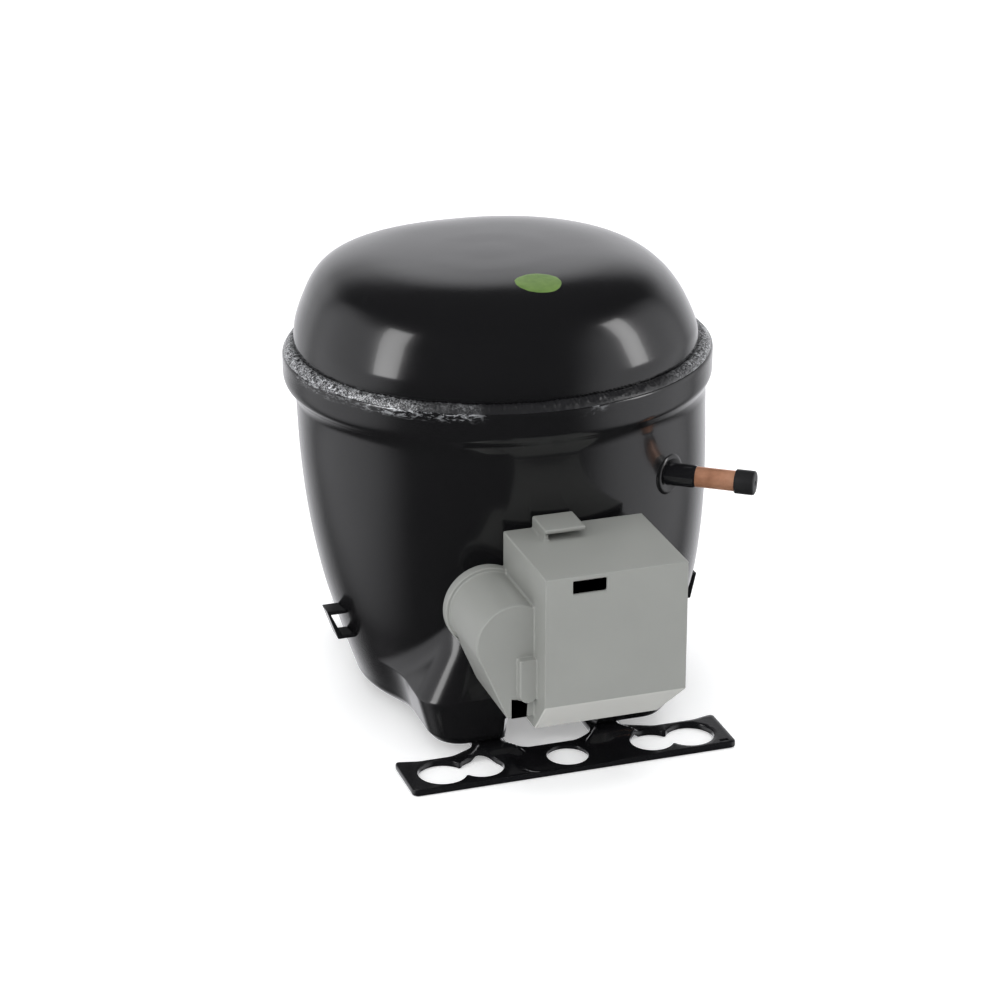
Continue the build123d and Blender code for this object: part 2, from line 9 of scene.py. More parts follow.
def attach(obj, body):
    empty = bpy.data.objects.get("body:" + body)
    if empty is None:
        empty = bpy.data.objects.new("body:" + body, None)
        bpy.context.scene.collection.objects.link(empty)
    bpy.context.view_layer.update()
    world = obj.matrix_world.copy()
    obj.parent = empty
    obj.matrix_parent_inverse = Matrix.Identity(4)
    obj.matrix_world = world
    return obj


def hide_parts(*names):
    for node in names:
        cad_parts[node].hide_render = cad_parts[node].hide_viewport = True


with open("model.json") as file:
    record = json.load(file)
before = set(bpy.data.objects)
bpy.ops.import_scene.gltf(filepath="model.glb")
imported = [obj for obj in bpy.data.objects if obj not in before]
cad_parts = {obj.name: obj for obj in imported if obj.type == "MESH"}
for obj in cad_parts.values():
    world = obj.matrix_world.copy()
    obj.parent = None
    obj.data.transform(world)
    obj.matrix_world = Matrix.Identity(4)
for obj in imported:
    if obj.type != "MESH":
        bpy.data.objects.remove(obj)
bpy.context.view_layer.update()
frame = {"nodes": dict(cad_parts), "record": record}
NODES = frame["nodes"]
MM = 0.001


# ---------------------------------------------------------------- materials
def new_mat(name):
    m = bpy.data.materials.new(name)
    m.use_nodes = True
    nt = m.node_tree
    return m, nt, nt.nodes["Principled BSDF"]


def coords(nt, scale=(1, 1, 1)):
    tc = nt.nodes.new("ShaderNodeTexCoord")
    mp = nt.nodes.new("ShaderNodeMapping")
    mp.inputs["Scale"].default_value = scale
    nt.links.new(tc.outputs["Object"], mp.inputs["Vector"])
    return mp.outputs["Vector"]


def noise_tex(nt, vec, scale, detail=2.0, rough=0.5, dist=0.0):
    n = nt.nodes.new("ShaderNodeTexNoise")
    n.inputs["Scale"].default_value = scale
    n.inputs["Detail"].default_value = detail
    n.inputs["Roughness"].default_value = rough
    n.inputs["Distortion"].default_value = dist
    nt.links.new(vec, n.inputs["Vector"])
    return n.outputs["Fac"]


def ramp(nt, fac, stops):
    r = nt.nodes.new("ShaderNodeValToRGB")
    e = r.color_ramp.elements
    while len(e) < len(stops):
        e.new(0.5)
    for i, (p, c) in enumerate(stops):
        e[i].position = p
        e[i].color = (c, c, c, 1) if isinstance(c, (int, float)) else (*c, 1)
    nt.links.new(fac, r.inputs["Fac"])
    return r.outputs["Color"]


def math_node(nt, op, a, b=None):
    n = nt.nodes.new("ShaderNodeMath")
    n.operation = op
    for i, v in enumerate((a, b)):
        if v is None:
            continue
        if isinstance(v, (int, float)):
            n.inputs[i].default_value = v
        else:
            nt.links.new(v, n.inputs[i])
    return n.outputs[0]


def mix_col(nt, fac, a, b):
    n = nt.nodes.new("ShaderNodeMix")
    n.data_type = "RGBA"
    for sock, v in ((0, fac), (6, a), (7, b)):
        if isinstance(v, tuple):
            n.inputs[sock].default_value = (*v, 1) if len(v) == 3 else v
        elif isinstance(v, (int, float)):
            n.inputs[sock].default_value = v
        else:
            nt.links.new(v, n.inputs[sock])
    return n.outputs[2]


def bump(nt, bsdf, height, strength, dist_m, base=None):
    b = nt.nodes.new("ShaderNodeBump")
    b.inputs["Strength"].default_value = strength
    b.inputs["Distance"].default_value = dist_m
    nt.links.new(height, b.inputs["Height"])
    if base is not None:
        nt.links.new(base, b.inputs["Normal"])
    nt.links.new(b.outputs["Normal"], bsdf.inputs["Normal"])
    return b.outputs["Normal"]


def paint(name, col=(0.006, 0.006, 0.0065), rough=0.17, scuff_z=None, peel=0.10):
    """Baked black enamel: broad gloss, orange peel, fine dust, and scuffs down to steel above scuff_z."""
    m, nt, b = new_mat(name)
    v = coords(nt)
    dust = ramp(nt, noise_tex(nt, v, 900, 3, 0.7), [(0.0, 0.0), (0.66, 0.0), (0.78, 1.0)])
    patch = ramp(nt, noise_tex(nt, v, 22, 3, 0.55), [(0.35, 0.0), (0.75, 1.0)])
    tone = mix_col(nt, math_node(nt, "MULTIPLY", dust, 0.12), col, (0.05, 0.05, 0.052))
    r0 = math_node(nt, "ADD", math_node(nt, "MULTIPLY", patch, 0.10), rough)
    rr = math_node(nt, "ADD", r0, math_node(nt, "MULTIPLY", dust, 0.08))
    metal = None
    if scuff_z is not None:
        geo = nt.nodes.new("ShaderNodeTexCoord")
        sep = nt.nodes.new("ShaderNodeSeparateXYZ")
        nt.links.new(geo.outputs["Object"], sep.inputs[0])
        up = nt.nodes.new("ShaderNodeMapRange")
        up.inputs["From Min"].default_value = scuff_z[0]
        up.inputs["From Max"].default_value = scuff_z[1]
        nt.links.new(sep.outputs["Z"], up.inputs["Value"])
        n1 = ramp(nt, noise_tex(nt, coords(nt, (1, 1, 3.0)), 330, 6, 0.72, 0.6), [(0.50, 0.0), (0.60, 1.0)])
        n2 = ramp(nt, noise_tex(nt, v, 26, 2, 0.5), [(0.46, 0.0), (0.62, 1.0)])
        s = math_node(nt, "MULTIPLY", math_node(nt, "MULTIPLY", n1, n2), up.outputs[0])
        tone = mix_col(nt, s, tone, (0.55, 0.56, 0.58))
        rr = math_node(nt, "ADD", rr, math_node(nt, "MULTIPLY", s, 0.25))
        metal = math_node(nt, "MULTIPLY", s, 0.6)
    nt.links.new(tone, b.inputs["Base Color"])
    nt.links.new(rr, b.inputs["Roughness"])
    if metal is not None:
        nt.links.new(metal, b.inputs["Metallic"])
    b.inputs["Coat Weight"].default_value = 0.35
    b.inputs["Coat Roughness"].default_value = 0.06
    peel_n = noise_tex(nt, v, 260, 2, 0.5)
    wave = noise_tex(nt, v, 30, 2, 0.5)
    n0 = nt.nodes.new("ShaderNodeBump")
    n0.inputs["Strength"].default_value = peel
    n0.inputs["Distance"].default_value = 0.0012
    nt.links.new(wave, n0.inputs["Height"])
    bump(nt, b, peel_n, peel, 0.00018, n0.outputs["Normal"])
    return m


def weld_mat():
    m, nt, b = new_mat("weld_scuffed")
    v = coords(nt)
    lump = noise_tex(nt, v, 420, 6, 0.7, 0.8)
    streak = noise_tex(nt, v, 900, 4, 0.75, 1.5)
    area = noise_tex(nt, v, 17, 2, 0.5)
    sep = nt.nodes.new("ShaderNodeSeparateXYZ")
    nt.links.new(nt.nodes.new("ShaderNodeTexCoord").outputs["Object"], sep.inputs[0])
    ends = nt.nodes.new("ShaderNodeMapRange")
    ends.inputs["From Min"].default_value = 0.045
    ends.inputs["From Max"].default_value = 0.078
    nt.links.new(math_node(nt, "ABSOLUTE", sep.outputs["X"]), ends.inputs["Value"])
    zone = math_node(nt, "MAXIMUM", ramp(nt, area, [(0.52, 0.0), (0.64, 0.6)]), ends.outputs[0])
    bare = math_node(nt, "MULTIPLY", ramp(nt, streak, [(0.50, 0.0), (0.57, 1.0)]), zone)
    tone = mix_col(nt, bare, (0.012, 0.012, 0.013), (0.80, 0.81, 0.83))
    nt.links.new(tone, b.inputs["Base Color"])
    nt.links.new(math_node(nt, "MULTIPLY", bare, 0.7), b.inputs["Metallic"])
    nt.links.new(math_node(nt, "ADD", math_node(nt, "MULTIPLY", bare, 0.15), 0.28), b.inputs["Roughness"])
    b.inputs["Coat Weight"].default_value = 0.2
    bump(nt, b, lump, 0.5, 0.0006)
    return m


def plastic(name, col, rough=0.48, grain=0.12, var=0.06):
    m, nt, b = new_mat(name)
    v = coords(nt)
    cl = ramp(nt, noise_tex(nt, v, 35, 4, 0.6), [(0.2, tuple(c * (1 - var) for c in col)), (0.8, tuple(min(1, c * (1 + var)) for c in col))])
    nt.links.new(cl, b.inputs["Base Color"])
    rg = noise_tex(nt, v, 140, 3, 0.6)
    nt.links.new(math_node(nt, "ADD", math_node(nt, "MULTIPLY", rg, 0.12), rough - 0.06), b.inputs["Roughness"])
    b.inputs["Specular IOR Level"].default_value = 0.45
    fine = noise_tex(nt, v, 2600, 3, 0.7)
    bump(nt, b, fine, grain, 0.00012)
    return m


def metal(name, col, rough, brushed=(1, 1, 1), scale=500, var=0.12, bumps=0.08):
    m, nt, b = new_mat(name)
    v = coords(nt, brushed)
    st = noise_tex(nt, v, scale, 4, 0.65)
    cl = ramp(nt, st, [(0.25, tuple(c * (1 - var) for c in col)), (0.75, tuple(min(1, c * (1 + var)) for c in col))])
    nt.links.new(cl, b.inputs["Base Color"])
    b.inputs["Metallic"].default_value = 1.0
    nt.links.new(math_node(nt, "ADD", math_node(nt, "MULTIPLY", st, 0.2), rough - 0.1), b.inputs["Roughness"])
    bump(nt, b, st, bumps, 0.0002)
    return m


def laminated(name):
    m, nt, b = new_mat(name)
    tc = nt.nodes.new("ShaderNodeTexCoord")
    w = nt.nodes.new("ShaderNodeTexWave")
    w.wave_type, w.bands_direction = "BANDS", "Z"
    w.inputs["Scale"].default_value = 310
    nt.links.new(tc.outputs["Object"], w.inputs["Vector"])
    cl = ramp(nt, w.outputs["Fac"], [(0.0, (0.10, 0.10, 0.11)), (0.5, (0.32, 0.32, 0.34))])
    nt.links.new(cl, b.inputs["Base Color"])
    b.inputs["Metallic"].default_value = 0.9
    b.inputs["Roughness"].default_value = 0.45
    bump(nt, b, w.outputs["Fac"], 0.3, 0.0002)
    return m


def glass_mat():
    m, nt, b = new_mat("bead_glass_green")
    v = coords(nt)
    cl = ramp(nt, noise_tex(nt, v, 300, 2), [(0.3, (0.10, 0.22, 0.16)), (0.7, (0.18, 0.34, 0.25))])
    nt.links.new(cl, b.inputs["Base Color"])
    b.inputs["Roughness"].default_value = 0.08
    b.inputs["Transmission Weight"].default_value = 0.3
    return m


def copper_mat():
    m, nt, b = new_mat("copper_tube")
    v = coords(nt)
    n1 = noise_tex(nt, v, 120, 4, 0.6)
    n2 = noise_tex(nt, v, 900, 3, 0.6)
    cl = ramp(nt, n1, [(0.25, (0.46, 0.21, 0.12)), (0.55, (0.68, 0.34, 0.21)), (0.85, (0.82, 0.46, 0.31))])
    nt.links.new(cl, b.inputs["Base Color"])
    b.inputs["Metallic"].default_value = 0.6
    nt.links.new(math_node(nt, "ADD", math_node(nt, "MULTIPLY", n2, 0.15), 0.24), b.inputs["Roughness"])
    bump(nt, b, n2, 0.1, 0.0002)
    return m


MAT = {
    "shell_paint": paint("enamel_black", scuff_z=(0.1385, 0.1425)),
    "lid_paint": paint("enamel_black_lid", rough=0.15, peel=0.06),
    "plate_paint": paint("enamel_black_plate", col=(0.007, 0.007, 0.008), rough=0.15, peel=0.14),
    "weld": weld_mat(),
    "copper": copper_mat(),
    "cap_rubber": plastic("cap_rubber", (0.012, 0.012, 0.013), 0.42, 0.2),
    "cover_plastic": plastic("cover_plastic_grey", (0.25, 0.255, 0.24), 0.40, 0.12, 0.05),
    # painted light: a lighter grey copy of the cover plastic, standing in for floor light bouncing up onto the cover's
    # underside bevel
    "cover_painted_floor_light": plastic("cover_plastic_painted_floor_light", (0.42, 0.42, 0.40), 0.5, 0.12, 0.04),
    "relay_plastic": plastic("relay_plastic", (0.03, 0.03, 0.034), 0.4),
    "capacitor_case": plastic("capacitor_case", (0.035, 0.035, 0.045), 0.3),
    "zinc_steel": metal("zinc_steel", (0.5, 0.5, 0.46), 0.35),
    "bead_glass": glass_mat(),
    "cast_iron": metal("cast_iron", (0.12, 0.12, 0.125), 0.6, scale=700, bumps=0.5),
    "lamination": laminated("stator_laminations"),
    "winding": metal("winding_copper", (0.55, 0.2, 0.06), 0.35, (1, 1, 4), 420, 0.4, 0.6),
    "rotor_aluminium": metal("cast_aluminium", (0.6, 0.6, 0.62), 0.42, scale=300, bumps=0.3),
    "ground_steel": metal("ground_steel", (0.5, 0.5, 0.52), 0.28, (1, 1, 6), 500),
    "gasket": plastic("gasket_fibre", (0.06, 0.07, 0.06), 0.7, 0.5),
    "muffler_plastic": plastic("muffler_plastic", (0.6, 0.57, 0.47), 0.5),
    "spring_steel": metal("spring_steel", (0.22, 0.22, 0.24), 0.3),
    "lead_sleeve": plastic("lead_sleeve", (0.45, 0.44, 0.38), 0.7, 0.6),
    "screw_brass": metal("screw_brass", (0.55, 0.42, 0.18), 0.35),
}
for sp in frame["record"]["subparts"]:
    o = NODES[sp["node"]]
    o.data.materials.clear()
    o.data.materials.append(MAT[sp["material_slot"]])
    for p in o.data.polygons:
        p.material_index = 0


# ---------------------------------------------------------------- mesh tools
def make(name, verts, faces, mats, body, replaced=(), smooth=True, sharp=None, idx=None):
    me = bpy.data.meshes.new(name)
    me.from_pydata([(v[0] * MM, v[1] * MM, v[2] * MM) for v in verts], [], faces)
    me.validate()
    o = bpy.data.objects.new(name, me)
    bpy.context.scene.collection.objects.link(o)
    for m in mats if isinstance(mats, (list, tuple)) else [mats]:
        me.materials.append(m)
    if idx:
        me.polygons.foreach_set("material_index", idx)
    bm = bmesh.new()
    bm.from_mesh(me)
    bmesh.ops.recalc_face_normals(bm, faces=bm.faces)
    bm.to_mesh(me)
    bm.free()
    if smooth:
        me.shade_smooth()
        if sharp:
            me.set_sharp_from_angle(angle=radians(sharp))
    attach(o, body)
    if replaced:
        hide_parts(*replaced)
    return o


def rings_to_faces(nr, nt, closed=True, flip=False):
    f = []
    for i in range(nr - 1):
        for j in range(nt if closed else nt - 1):
            k = (j + 1) % nt
            q = (i * nt + j, i * nt + k, (i + 1) * nt + k, (i + 1) * nt + j)
            f.append(q[::-1] if flip else q)
    return f


def spline_rows(rows, n):
    """Catmull-Rom through rows of numbers, spaced evenly along their length."""
    P = np.array(rows, float)
    P = np.vstack([2 * P[0] - P[1], P, 2 * P[-1] - P[-2]])
    out = []
    for i in range(1, len(P) - 2):
        p0, p1, p2, p3 = P[i - 1], P[i], P[i + 1], P[i + 2]
        for t in np.linspace(0, 1, 24, endpoint=False):
            out.append(0.5 * ((2 * p1) + (p2 - p0) * t + (2 * p0 - 5 * p1 + 4 * p2 - p3) * t * t + (3 * p1 - p0 - 3 * p2 + p3) * t ** 3))
    out.append(P[-2])
    out = np.array(out)
    d = np.concatenate([[0], np.cumsum(np.linalg.norm(np.diff(out[:, :3], axis=0), axis=1))])
    s = np.linspace(0, d[-1], n)
    return np.stack([np.interp(s, d, out[:, c]) for c in range(out.shape[1])], axis=1)


def polar(a, b, th, n=2.0):
    return (np.abs(np.cos(th) / a) ** n + np.abs(np.sin(th) / b) ** n) ** (-1.0 / n)


# ---------------------------------------------------------------- lid
NT = 480
TH = np.linspace(0, 2 * pi, NT, endpoint=False)
LID = [
    (146.0, 79.6, 74.0), (150.0, 78.8, 73.3), (155.0, 77.3, 71.9), (160.3, 75.2, 69.9),
    (165.6, 72.6, 67.5), (170.0, 69.7, 64.8), (173.7, 66.0, 61.4), (176.6, 60.8, 56.6),
    (178.75, 53.2, 49.5), (180.05, 43.0, 40.0), (180.65, 26.0, 24.2), (180.82, 8.0, 7.4),
]


def lid_surface():
    rows = spline_rows([(z, a, b) for z, a, b in [(134.0, 79.6, 74.0), (140.0, 79.6, 74.0)] + LID], 96)
    return rows


def lid_centre(z):
    return -0.65 - 0.055 * (z - 143.0) if z < 163.0 else -1.75 - 0.095 * (z - 163.0)


def build_lid():
    rows = lid_surface()
    verts = []
    for z, a, b in rows:
        n = 2.0 + 0.24 * min(1, max(0, (z - 140) / 12))
        r = polar(a, b, TH, n)
        xc = lid_centre(z)
        verts += [(xc + r[j] * cos(TH[j]), r[j] * sin(TH[j]), z) for j in range(NT)]
    faces = rings_to_faces(len(rows), NT)
    top = len(verts)
    verts.append((lid_centre(180.85), 0, 180.85))
    base = (len(rows) - 1) * NT
    faces += [(base + j, base + (j + 1) % NT, top) for j in range(NT)]
    # inside of the sheet
    inner0 = len(verts)
    inn = rows[::3]
    for z, a, b in inn:
        n = 2.0 + 0.24 * min(1, max(0, (z - 140) / 12))
        zz = 134.0 + (z - 134.0) * (177.8 - 134.0) / (180.82 - 134.0)
        r = polar(max(a - 3.0, 2.0), max(b - 3.0, 2.0), TH, n)
        xc = lid_centre(z)
        verts += [(xc + r[j] * cos(TH[j]), r[j] * sin(TH[j]), zz) for j in range(NT)]
    faces += [tuple(inner0 + i for i in f) for f in rings_to_faces(len(inn), NT, flip=True)]
    it = len(verts)
    verts.append((lid_centre(180.85), 0, 177.8))
    base = inner0 + (len(inn) - 1) * NT
    faces += [(base + (j + 1) % NT, base + j, it) for j in range(NT)]
    faces += [(inner0 + j, inner0 + (j + 1) % NT, (j + 1) % NT, j) for j in range(NT)]
    return make("upper_shell_skin", verts, faces, MAT["lid_paint"], "shell", ["upper_shell"], sharp=40)


build_lid()

# ---------------------------------------------------------------- lower shell
LOWER = [
    (3.0, 48.0, 45.3, 1.8), (4.5, 57.0, 53.8, 2.4), (7.0, 61.3, 57.9, 3.2), (11.0, 63.6, 60.0, 3.9),
    (20.0, 67.3, 63.5, 4.6), (32.0, 71.3, 67.0, 4.9), (46.0, 75.4, 70.4, 4.8), (62.0, 78.3, 72.7, 4.1),
    (80.0, 80.4, 74.2, 3.2), (100.0, 81.5, 75.0, 2.2), (118.0, 81.75, 75.3, 1.5),
]
RIM = [
    (122.0, 81.8, 75.4, 1.4), (125.0, 82.0, 75.6, 1.2), (127.6, 82.8, 76.4, 0.8), (129.6, 84.0, 77.6, 0.4), (131.0, 84.8, 78.5, 0.2),
    (132.4, 85.25, 79.0, 0.1), (134.4, 85.44, 79.14, 0.0), (138.0, 85.46, 79.16, 0.0), (141.0, 85.46, 79.16, 0.0),
    (142.1, 85.2, 78.9, 0.0), (142.5, 84.6, 78.3, 0.0),
]
LOBE = [(5.0, 45.0, 70.0, 9.0), (6.2, 47.4, 71.8, 11.0), (9.0, 49.6, 73.2, 12.0), (24.0, 53.5, 74.0, 14.0), (62.0, 30.0, 62.0, 10.0), (80.0, 15.0, 45.0, 8.0)]


def smooth_step(x):
    x = np.clip(x, 0, 1)
    return x * x * (3 - 2 * x)


def lobe_radius(z, xc):
    """Distance from (xc, 0) to the edge of the foot pads at height z, for every angle."""
    zs = [l[0] for l in LOBE]
    hx, y1, rc = (np.interp(z, zs, [l[k] for l in LOBE]) for k in (1, 2, 3))
    ct, st = np.cos(TH), np.sin(TH)
    lo, hi = np.zeros(NT), np.full(NT, 120.0)
    for _ in range(26):
        mid = (lo + hi) / 2
        qx = np.abs(xc + mid * ct) - (hx - rc)
        qy = np.abs(mid * st) - (y1 - rc)
        d = np.hypot(np.maximum(qx, 0), np.maximum(qy, 0)) + np.minimum(np.maximum(qx, qy), 0) - rc
        inside = d < 0
        lo, hi = np.where(inside, mid, lo), np.where(inside, hi, mid)
    r = (lo + hi) / 2
    # arch between the legs, front and rear
    x = xc + r * ct
    m = smooth_step((17.5 - np.abs(x + 2.5)) / 3.0 + 0.5) * smooth_step((14.5 - z) / 3.0 + 0.5) * (np.abs(st) > 0.5)
    return r * (1 - m)


def lower_radius(z, a, b, xc, lobes=True):
    n = 2.0
    r = polar(a, b, TH, n)
    if lobes and z < 80:
        l = lobe_radius(z, xc)
        k = 7.0
        h = np.maximum(k - np.abs(r - l), 0) / k
        r = np.maximum(r, l) + h * h * k / 4
    return r


def build_lower():
    low = spline_rows([(z, a, b, x) for z, a, b, x in LOWER], 400)
    low = low[np.argsort(low[:, 0])]
    zz = np.concatenate([[3.0, 3.6, 4.2, 4.97], np.linspace(5.0, 30.0, 46), np.linspace(31.0, 117.5, 60)])
    rim = spline_rows(RIM, 60)
    verts, n = [], 0
    verts.append((1.0, 0, 3.0))
    for z in zz:
        a, b, x = (np.interp(z, low[:, 0], low[:, k]) for k in (1, 2, 3))
        r = lower_radius(z, a, b, x, z >= 5.0)
        verts += [(x + r[j] * cos(TH[j]), r[j] * sin(TH[j]), z) for j in range(NT)]
        n += 1
    for z, a, b, x in rim:
        r = polar(a, b, TH)
        verts += [(x + r[j] * cos(TH[j]), r[j] * sin(TH[j]), z) for j in range(NT)]
        n += 1
    for z, a, b, x in ((142.5, 82.4, 76.2, 0.0), (134.0, 82.4, 76.2, 0.0), (124.0, 79.0, 72.8, 0.8)):
        r = polar(a, b, TH)
        verts += [(x + r[j] * cos(TH[j]), r[j] * sin(TH[j]), z) for j in range(NT)]
        n += 1
    for z in np.concatenate([np.linspace(115.0, 20.0, 20), [16.0, 13.0, 10.0, 8.0, 7.0]]):
        zo = max(3.0, z - 3.0 * (1 - min(1, (z - 6) / 20)))
        a, b, x = (np.interp(zo, low[:, 0], low[:, k]) for k in (1, 2, 3))
        r = polar(a - 3, b - 3, TH)
        verts += [(x + r[j] * cos(TH[j]), r[j] * sin(TH[j]), z) for j in range(NT)]
        n += 1
    faces = [tuple(1 + i for i in f) for f in rings_to_faces(n, NT)]
    faces += [(0, 1 + (j + 1) % NT, 1 + j) for j in range(NT)]
    base = 1 + (n - 1) * NT
    c = len(verts)
    verts.append((1.0, 0, 6.0))
    faces += [(base + j, base + (j + 1) % NT, c) for j in range(NT)]
    return make("lower_shell_skin", verts, faces, MAT["shell_paint"], "shell", ["lower_shell"], sharp=50)


build_lower()


# ---------------------------------------------------------------- weld bead
def build_weld():
    nt, nk = 900, 18
    th = np.linspace(0, 2 * pi, nt, endpoint=False)
    ro = polar(84.9, 78.7, th)
    ri = polar(78.9, 73.3, th, 2.06)
    verts = []
    for k in range(nk):
        u = k / (nk - 1)
        for j in range(nt):
            p = Vector((cos(th[j]) * 84, sin(th[j]) * 78, u * 6))
            lump = noise.noise(p * 0.42) * 0.55 + noise.noise(p * 1.3) * 0.28 + noise.noise(p * 0.09) * 0.5
            ripple = 0.18 * sin(th[j] * 260 + 3 * noise.noise(p * 0.15))
            prof = sin(pi * min(1.0, u * 0.92 + 0.05)) ** 0.75
            r = ro[j] + (ri[j] - ro[j]) * u + 0.35 * noise.noise(p * 0.6 + Vector((9, 3, 1))) * sin(pi * u)
            z = 141.9 + (1.9 + 0.7 * u) * prof * (1 + 0.30 * lump) + ripple * sin(pi * u) + 1.6 * u
            verts.append((-0.1 - 0.5 * u + r * cos(th[j]), r * sin(th[j]), z))
    # underside closes the ring
    for k in (nk - 1, 0):
        for j in range(nt):
            r = ri[j] if k else ro[j] - 0.4
            verts.append((r * cos(th[j]), r * sin(th[j]), 140.2))
    faces = rings_to_faces(nk + 2, nt)
    faces += [((nk + 1) * nt + j, (nk + 1) * nt + (j + 1) % nt, (j + 1) % nt, j) for j in range(nt)]
    return make("weld_bead_skin", verts, faces, MAT["weld"], "shell", ["weld_bead"])


build_weld()


# ---------------------------------------------------------------- turned pieces
def turned(name, p, d, prof, mat, body, replaced=(), seg=72, sharp=35, wob=0.0):
    """Revolves prof, (distance along d, radius) from outside in, round the line through p in direction d."""
    d = Vector(d).normalized()
    u = d.cross(Vector((0, 0, 1)))
    u = u.normalized() if u.length > 1e-6 else Vector((1, 0, 0))
    w = d.cross(u)
    p = Vector(p)
    verts = []
    for l, r in prof:
        for j in range(seg):
            t = 2 * pi * j / seg
            rr = r * (1 + wob * noise.noise(Vector((l * 0.3, cos(t) * 2, sin(t) * 2))))
            verts.append(tuple(p + d * l + (u * cos(t) + w * sin(t)) * rr))
    faces = rings_to_faces(len(prof), seg)
    faces += [((len(prof) - 1) * seg + j, (len(prof) - 1) * seg + (j + 1) % seg, (j + 1) % seg, j) for j in range(seg)]
    return make(name, verts, faces, mat, body, replaced, sharp=sharp)


RING_OUT = {"suction": 2.3, "discharge": 0.2, "process": 1.3}
TUBES = {
    "suction": ((48.7, -59.8, 103.5), (0.8123, -0.5832, 0.0), 4.0, 3.0, 12.0, 32.9, 27.5, 35.2),
    "discharge": ((-28.0, 70.6, 94.0), (0.0, 1.0, 0.0), 3.25, 2.4, 10.0, 30.0, 23.0, 32.5),
    "process": ((30.0, 69.8, 94.0), (0.0, 1.0, 0.0), 3.25, 2.4, 10.0, 40.0, 33.0, 42.5),
}
for nm, (p, d, r, ri, ls, le, c0, c1) in TUBES.items():
    turned(f"{nm}_tube_skin", p, d,
           [(-7, r), (le - 0.5, r), (le - 0.15, r - 0.12), (le, r - 0.4), (le, ri + 0.2), (le - 0.3, ri), (-7, ri)],
           MAT["copper"], "shell", [f"{nm}_tube"], wob=0.004)
    turned(f"{nm}_sleeve_skin", p, d,
           [(-5, r + 0.45), (ls - 1.2, r + 0.45), (ls - 0.5, r + 0.4), (ls - 0.1, r + 0.22), (ls, r + 0.02), (-5, r + 0.02)],
           MAT["plate_paint"], "shell")
    nx, ny = (p[0] - 1.8) / 80.8 ** 2, p[1] / 74.9 ** 2
    q = RING_OUT[nm] - 1.3
    l = hypot(nx, ny)
    R = r + 4.2
    turned(f"{nm}_weld_ring_skin", p, (nx / l, ny / l, 0),
           [(q - 3.0, R + 0.3), (q - 0.4, R + 0.2), (q + 0.3, R), (q + 0.9, R - 0.5), (q + 1.2, R - 1.2), (q + 1.15, R - 2.0), (q + 0.75, R - 2.8), (q + 0.7, r + 0.5), (q - 3.0, r + 0.5)],
           MAT["shell_paint"], "shell", sharp=60)
    ro = r + 0.75
    turned(f"{nm}_cap_skin", p, d,
           [(c0, r + 0.06), (c0, ro - 0.25), (c0 + 0.25, ro), (c1 - 0.9, ro), (c1 - 0.35, ro - 0.16), (c1 - 0.05, ro - 0.6), (c1, ro - 1.1), (c1, 1.15), (c1 - 0.25, 0.9), (c1 - 2.2, 0.9), (c1 - 2.2, r + 0.06)],
           MAT["cap_rubber"], f"{nm}_cap", [f"{nm}_tube_cap"])
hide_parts("tube_sleeves")
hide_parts("tube_weld_rings")


# ---------------------------------------------------------------- base plates
def rounded_poly(pts, radii, seg=7):
    out = []
    n = len(pts)
    for i in range(n):
        p0, p1, p2 = (Vector((*pts[(i + k) % n], 0)) for k in (-1, 0, 1))
        a, b = (p0 - p1).normalized(), (p2 - p1).normalized()
        ang = a.angle(b)
        r = radii[i]
        t = r / np.tan(ang / 2)
        c = p1 + (a + b).normalized() * (r / sin(ang / 2))
        s, e = p1 + a * t, p1 + b * t
        va, vb = s - c, e - c
        full = va.angle(vb)
        cr = va.x * vb.y - va.y * vb.x
        for k in range(seg + 1):
            q = full * k / seg * (1 if cr > 0 else -1)
            out.append((c.x + va.x * cos(q) - va.y * sin(q), c.y + va.x * sin(q) + va.y * cos(q)))
    return out


def dense(poly, step=1.4):
    out = []
    for i in range(len(poly)):
        a, b = poly[i], poly[(i + 1) % len(poly)]
        l = hypot(b[0] - a[0], b[1] - a[1])
        k = max(1, int(l / step))
        out += [(a[0] + (b[0] - a[0]) * t / k, a[1] + (b[1] - a[1]) * t / k) for t in range(k)]
    return out


def area2(poly):
    return sum(poly[i][0] * poly[(i + 1) % len(poly)][1] - poly[(i + 1) % len(poly)][0] * poly[i][1] for i in range(len(poly))) / 2


def inset(poly, d):
    """Moves each point d into the metal: left of a counter-clockwise outline."""
    n = len(poly)
    out = []
    for i in range(n):
        a, b, c = poly[i - 1], poly[i], poly[(i + 1) % n]
        e1, e2 = (b[0] - a[0], b[1] - a[1]), (c[0] - b[0], c[1] - b[1])
        l1, l2 = hypot(*e1) or 1, hypot(*e2) or 1
        nx, ny = -(e1[1] / l1 + e2[1] / l2), (e1[0] / l1 + e2[0] / l2)
        l = hypot(nx, ny) or 1
        out.append((b[0] + nx / l * d, b[1] + ny / l * d))
    return out


def in_poly(pts, poly):
    P = np.array(poly)
    x, y = pts[:, 0], pts[:, 1]
    c = np.zeros(len(pts), bool)
    x1, y1 = P[:, 0], P[:, 1]
    x2, y2 = np.roll(x1, -1), np.roll(y1, -1)
    for i in range(len(P)):
        hit = (y1[i] > y) != (y2[i] > y)
        with np.errstate(divide="ignore", invalid="ignore"):
            xi = (x2[i] - x1[i]) * (y - y1[i]) / (y2[i] - y1[i]) + x1[i]
        c ^= hit & (x < xi)
    return c


def near_poly(pts, poly, d):
    P = np.array(poly)
    out = np.zeros(len(pts), bool)
    for q in P:
        out |= (np.hypot(pts[:, 0] - q[0], pts[:, 1] - q[1]) < d)
    return out


